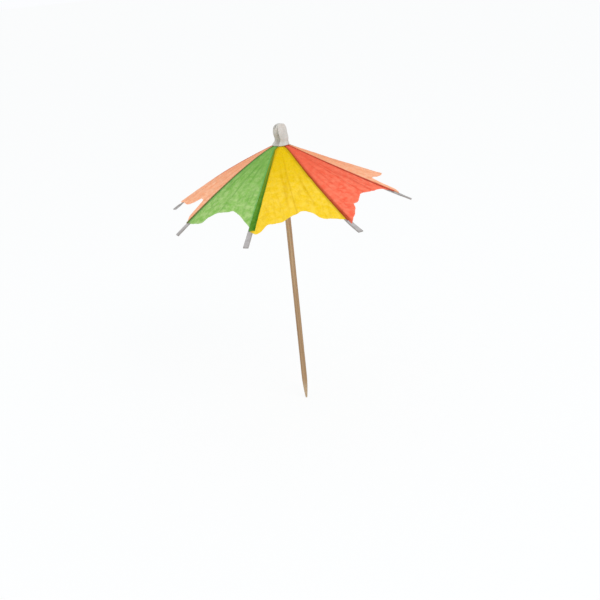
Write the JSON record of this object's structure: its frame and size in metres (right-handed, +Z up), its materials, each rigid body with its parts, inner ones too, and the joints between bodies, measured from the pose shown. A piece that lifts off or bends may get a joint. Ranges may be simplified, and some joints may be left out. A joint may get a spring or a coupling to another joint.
{
  "type": "cocktail umbrella pick",
  "caption": "Opened paper cocktail umbrella on a pointed wooden pick; card ribs and stretchers fold its coloured paper canopy as the runner slides down.",
  "frame": {"origin": "the pick's point", "axes": "+Z up along the pick towards the finial; -Y is the front, in the middle of a yellow gore"},
  "size_m": [0.0758, 0.0758, 0.1],
  "materials": {
    "bamboo": "plain split bamboo, matt",
    "card": "uncoated grey-white card",
    "newsprint": "plain unprinted newsprint, rolled",
    "paper_yellow": "thin dyed tissue paper, yellow",
    "paper_green": "thin dyed tissue paper, green",
    "paper_coral": "thin dyed tissue paper, coral red",
    "paper_peach": "thin dyed tissue paper, peach",
    "lap_green": "doubled tissue paper over the rib, green",
    "lap_coral": "doubled tissue paper over the rib, red",
    "ring_pink": "soft translucent pink plastic"
  },
  "bodies": {
    "root": {"pick": "bamboo", "crown_tube": "card", "crown_packing": "newsprint"},
    "runner": {"runner_tube": "card", "runner_lining": "newsprint"},
    "ring": {"retaining_ring": "ring_pink"},
    "rib_1": {"rib_1": "card", "seam_lap_1": "lap_green", "stretcher_tab_1": "card"},
    "rib_2": {"rib_2": "card", "seam_lap_2": "lap_green", "stretcher_tab_2": "card"},
    "rib_3": {"rib_3": "card", "seam_lap_3": "lap_coral", "stretcher_tab_3": "card"},
    "rib_4": {"rib_4": "card", "seam_lap_4": "lap_coral", "stretcher_tab_4": "card"},
    "rib_5": {"rib_5": "card", "seam_lap_5": "lap_green", "stretcher_tab_5": "card"},
    "rib_6": {"rib_6": "card", "seam_lap_6": "lap_green", "stretcher_tab_6": "card"},
    "rib_7": {"rib_7": "card", "seam_lap_7": "lap_coral", "stretcher_tab_7": "card"},
    "rib_8": {"rib_8": "card", "seam_lap_8": "lap_coral", "stretcher_tab_8": "card"},
    "stretcher_1": {"stretcher_1": "card"},
    "stretcher_2": {"stretcher_2": "card"},
    "stretcher_3": {"stretcher_3": "card"},
    "stretcher_4": {"stretcher_4": "card"},
    "stretcher_5": {"stretcher_5": "card"},
    "stretcher_6": {"stretcher_6": "card"},
    "stretcher_7": {"stretcher_7": "card"},
    "stretcher_8": {"stretcher_8": "card"},
    "panel_1a": {"panel_1a": "paper_green"},
    "panel_1b": {"panel_1b": "paper_green"},
    "panel_2a": {"panel_2a": "paper_yellow"},
    "panel_2b": {"panel_2b": "paper_yellow"},
    "panel_3a": {"panel_3a": "paper_coral"},
    "panel_3b": {"panel_3b": "paper_coral"},
    "panel_4a": {"panel_4a": "paper_peach"},
    "panel_4b": {"panel_4b": "paper_peach"},
    "panel_5a": {"panel_5a": "paper_green"},
    "panel_5b": {"panel_5b": "paper_green"},
    "panel_6a": {"panel_6a": "paper_yellow"},
    "panel_6b": {"panel_6b": "paper_yellow"},
    "panel_7a": {"panel_7a": "paper_coral"},
    "panel_7b": {"panel_7b": "paper_coral"},
    "panel_8a": {"panel_8a": "paper_peach"},
    "panel_8b": {"panel_8b": "paper_peach"}
  },
  "joints": [
    {"name": "runner_slide", "type": "slide", "parent": "root", "child": "runner", "axis": [0, 0, -1], "range_m": [0, 0.01711]},
    {"name": "ring_slide", "type": "slide", "parent": "runner", "child": "ring", "axis": [0, 0, -1], "range_m": [0, 0.035]},
    {"name": "rib_fold_1", "type": "hinge", "parent": "root", "child": "rib_1", "pos_m": [0.0018, 0.00075, 0.0924], "axis": [-0.3827, 0.9239, 0], "range_deg": [0, 55]},
    {"name": "rib_fold_2", "type": "hinge", "parent": "root", "child": "rib_2", "pos_m": [0.00075, 0.0018, 0.0924], "axis": [-0.9239, 0.3827, 0], "range_deg": [0, 55]},
    {"name": "rib_fold_3", "type": "hinge", "parent": "root", "child": "rib_3", "pos_m": [-0.00075, 0.0018, 0.0924], "axis": [-0.9239, -0.3827, 0], "range_deg": [0, 55]},
    {"name": "rib_fold_4", "type": "hinge", "parent": "root", "child": "rib_4", "pos_m": [-0.0018, 0.00075, 0.0924], "axis": [-0.3827, -0.9239, 0], "range_deg": [0, 55]},
    {"name": "rib_fold_5", "type": "hinge", "parent": "root", "child": "rib_5", "pos_m": [-0.0018, -0.00075, 0.0924], "axis": [0.3827, -0.9239, 0], "range_deg": [0, 55]},
    {"name": "rib_fold_6", "type": "hinge", "parent": "root", "child": "rib_6", "pos_m": [-0.00075, -0.0018, 0.0924], "axis": [0.9239, -0.3827, 0], "range_deg": [0, 55]},
    {"name": "rib_fold_7", "type": "hinge", "parent": "root", "child": "rib_7", "pos_m": [0.00075, -0.0018, 0.0924], "axis": [0.9239, 0.3827, 0], "range_deg": [0, 55]},
    {"name": "rib_fold_8", "type": "hinge", "parent": "root", "child": "rib_8", "pos_m": [0.0018, -0.00075, 0.0924], "axis": [0.3827, 0.9239, 0], "range_deg": [0, 55]},
    {"name": "stretcher_fold_1", "type": "hinge", "parent": "rib_1", "child": "stretcher_1", "pos_m": [0.01548, 0.00641, 0.08401], "axis": [0.3827, -0.9239, 0], "range_deg": [0, 110]},
    {"name": "stretcher_fold_2", "type": "hinge", "parent": "rib_2", "child": "stretcher_2", "pos_m": [0.00641, 0.01548, 0.08401], "axis": [0.9239, -0.3827, 0], "range_deg": [0, 110]},
    {"name": "stretcher_fold_3", "type": "hinge", "parent": "rib_3", "child": "stretcher_3", "pos_m": [-0.00641, 0.01548, 0.08401], "axis": [0.9239, 0.3827, 0], "range_deg": [0, 110]},
    {"name": "stretcher_fold_4", "type": "hinge", "parent": "rib_4", "child": "stretcher_4", "pos_m": [-0.01548, 0.00641, 0.08401], "axis": [0.3827, 0.9239, 0], "range_deg": [0, 110]},
    {"name": "stretcher_fold_5", "type": "hinge", "parent": "rib_5", "child": "stretcher_5", "pos_m": [-0.01548, -0.00641, 0.08401], "axis": [-0.3827, 0.9239, 0], "range_deg": [0, 110]},
    {"name": "stretcher_fold_6", "type": "hinge", "parent": "rib_6", "child": "stretcher_6", "pos_m": [-0.00641, -0.01548, 0.08401], "axis": [-0.9239, 0.3827, 0], "range_deg": [0, 110]},
    {"name": "stretcher_fold_7", "type": "hinge", "parent": "rib_7", "child": "stretcher_7", "pos_m": [0.00641, -0.01548, 0.08401], "axis": [-0.9239, -0.3827, 0], "range_deg": [0, 110]},
    {"name": "stretcher_fold_8", "type": "hinge", "parent": "rib_8", "child": "stretcher_8", "pos_m": [0.01548, -0.00641, 0.08401], "axis": [-0.3827, -0.9239, 0], "range_deg": [0, 110]},
    {"name": "paper_fold_1a", "type": "hinge", "parent": "rib_1", "child": "panel_1a", "pos_m": [0.00157, 0.00163, 0.09265], "axis": [0.8232, 0.341, -0.454], "range_deg": [0, 59.4]},
    {"name": "paper_fold_1b", "type": "hinge", "parent": "rib_2", "child": "panel_1b", "pos_m": [0.00163, 0.00157, 0.09265], "axis": [-0.341, -0.8232, 0.454], "range_deg": [0, 59.4]},
    {"name": "paper_fold_2a", "type": "hinge", "parent": "rib_2", "child": "panel_2a", "pos_m": [-0.00004, 0.00226, 0.09265], "axis": [0.341, 0.8232, -0.454], "range_deg": [0, 59.4]},
    {"name": "paper_fold_2b", "type": "hinge", "parent": "rib_3", "child": "panel_2b", "pos_m": [0.00004, 0.00226, 0.09265], "axis": [0.341, -0.8232, 0.454], "range_deg": [0, 59.4]},
    {"name": "paper_fold_3a", "type": "hinge", "parent": "rib_3", "child": "panel_3a", "pos_m": [-0.00163, 0.00157, 0.09265], "axis": [-0.341, 0.8232, -0.454], "range_deg": [0, 59.4]},
    {"name": "paper_fold_3b", "type": "hinge", "parent": "rib_4", "child": "panel_3b", "pos_m": [-0.00157, 0.00163, 0.09265], "axis": [0.8232, -0.341, 0.454], "range_deg": [0, 59.4]},
    {"name": "paper_fold_4a", "type": "hinge", "parent": "rib_4", "child": "panel_4a", "pos_m": [-0.00226, -0.00004, 0.09265], "axis": [-0.8232, 0.341, -0.454], "range_deg": [0, 59.4]},
    {"name": "paper_fold_4b", "type": "hinge", "parent": "rib_5", "child": "panel_4b", "pos_m": [-0.00226, 0.00004, 0.09265], "axis": [0.8232, 0.341, 0.454], "range_deg": [0, 59.4]},
    {"name": "paper_fold_5a", "type": "hinge", "parent": "rib_5", "child": "panel_5a", "pos_m": [-0.00157, -0.00163, 0.09265], "axis": [-0.8232, -0.341, -0.454], "range_deg": [0, 59.4]},
    {"name": "paper_fold_5b", "type": "hinge", "parent": "rib_6", "child": "panel_5b", "pos_m": [-0.00163, -0.00157, 0.09265], "axis": [0.341, 0.8232, 0.454], "range_deg": [0, 59.4]},
    {"name": "paper_fold_6a", "type": "hinge", "parent": "rib_6", "child": "panel_6a", "pos_m": [0.00004, -0.00226, 0.09265], "axis": [-0.341, -0.8232, -0.454], "range_deg": [0, 59.4]},
    {"name": "paper_fold_6b", "type": "hinge", "parent": "rib_7", "child": "panel_6b", "pos_m": [-0.00004, -0.00226, 0.09265], "axis": [-0.341, 0.8232, 0.454], "range_deg": [0, 59.4]},
    {"name": "paper_fold_7a", "type": "hinge", "parent": "rib_7", "child": "panel_7a", "pos_m": [0.00163, -0.00157, 0.09265], "axis": [0.341, -0.8232, -0.454], "range_deg": [0, 59.4]},
    {"name": "paper_fold_7b", "type": "hinge", "parent": "rib_8", "child": "panel_7b", "pos_m": [0.00157, -0.00163, 0.09265], "axis": [-0.8232, 0.341, 0.454], "range_deg": [0, 59.4]},
    {"name": "paper_fold_8a", "type": "hinge", "parent": "rib_8", "child": "panel_8a", "pos_m": [0.00226, 0.00004, 0.09265], "axis": [0.8232, -0.341, -0.454], "range_deg": [0, 59.4]},
    {"name": "paper_fold_8b", "type": "hinge", "parent": "rib_1", "child": "panel_8b", "pos_m": [0.00226, -0.00004, 0.09265], "axis": [-0.8232, -0.341, 0.454], "range_deg": [0, 59.4]}
  ],
  "couplings": [
    {"joint": "rib_fold_1", "follows": "runner_slide", "rad_per_m": 56.117},
    {"joint": "rib_fold_2", "follows": "runner_slide", "rad_per_m": 56.117},
    {"joint": "rib_fold_3", "follows": "runner_slide", "rad_per_m": 56.117},
    {"joint": "rib_fold_4", "follows": "runner_slide", "rad_per_m": 56.117},
    {"joint": "rib_fold_5", "follows": "runner_slide", "rad_per_m": 56.117},
    {"joint": "rib_fold_6", "follows": "runner_slide", "rad_per_m": 56.117},
    {"joint": "rib_fold_7", "follows": "runner_slide", "rad_per_m": 56.117},
    {"joint": "rib_fold_8", "follows": "runner_slide", "rad_per_m": 56.117},
    {"joint": "stretcher_fold_1", "follows": "runner_slide", "rad_per_m": 112.23},
    {"joint": "stretcher_fold_2", "follows": "runner_slide", "rad_per_m": 112.23},
    {"joint": "stretcher_fold_3", "follows": "runner_slide", "rad_per_m": 112.23},
    {"joint": "stretcher_fold_4", "follows": "runner_slide", "rad_per_m": 112.23},
    {"joint": "stretcher_fold_5", "follows": "runner_slide", "rad_per_m": 112.23},
    {"joint": "stretcher_fold_6", "follows": "runner_slide", "rad_per_m": 112.23},
    {"joint": "stretcher_fold_7", "follows": "runner_slide", "rad_per_m": 112.23},
    {"joint": "stretcher_fold_8", "follows": "runner_slide", "rad_per_m": 112.23},
    {"joint": "paper_fold_1a", "follows": "runner_slide", "rad_per_m": 60.606},
    {"joint": "paper_fold_1b", "follows": "runner_slide", "rad_per_m": 60.606},
    {"joint": "paper_fold_2a", "follows": "runner_slide", "rad_per_m": 60.606},
    {"joint": "paper_fold_2b", "follows": "runner_slide", "rad_per_m": 60.606},
    {"joint": "paper_fold_3a", "follows": "runner_slide", "rad_per_m": 60.606},
    {"joint": "paper_fold_3b", "follows": "runner_slide", "rad_per_m": 60.606},
    {"joint": "paper_fold_4a", "follows": "runner_slide", "rad_per_m": 60.606},
    {"joint": "paper_fold_4b", "follows": "runner_slide", "rad_per_m": 60.606},
    {"joint": "paper_fold_5a", "follows": "runner_slide", "rad_per_m": 60.606},
    {"joint": "paper_fold_5b", "follows": "runner_slide", "rad_per_m": 60.606},
    {"joint": "paper_fold_6a", "follows": "runner_slide", "rad_per_m": 60.606},
    {"joint": "paper_fold_6b", "follows": "runner_slide", "rad_per_m": 60.606},
    {"joint": "paper_fold_7a", "follows": "runner_slide", "rad_per_m": 60.606},
    {"joint": "paper_fold_7b", "follows": "runner_slide", "rad_per_m": 60.606},
    {"joint": "paper_fold_8a", "follows": "runner_slide", "rad_per_m": 60.606},
    {"joint": "paper_fold_8b", "follows": "runner_slide", "rad_per_m": 60.606}
  ]
}
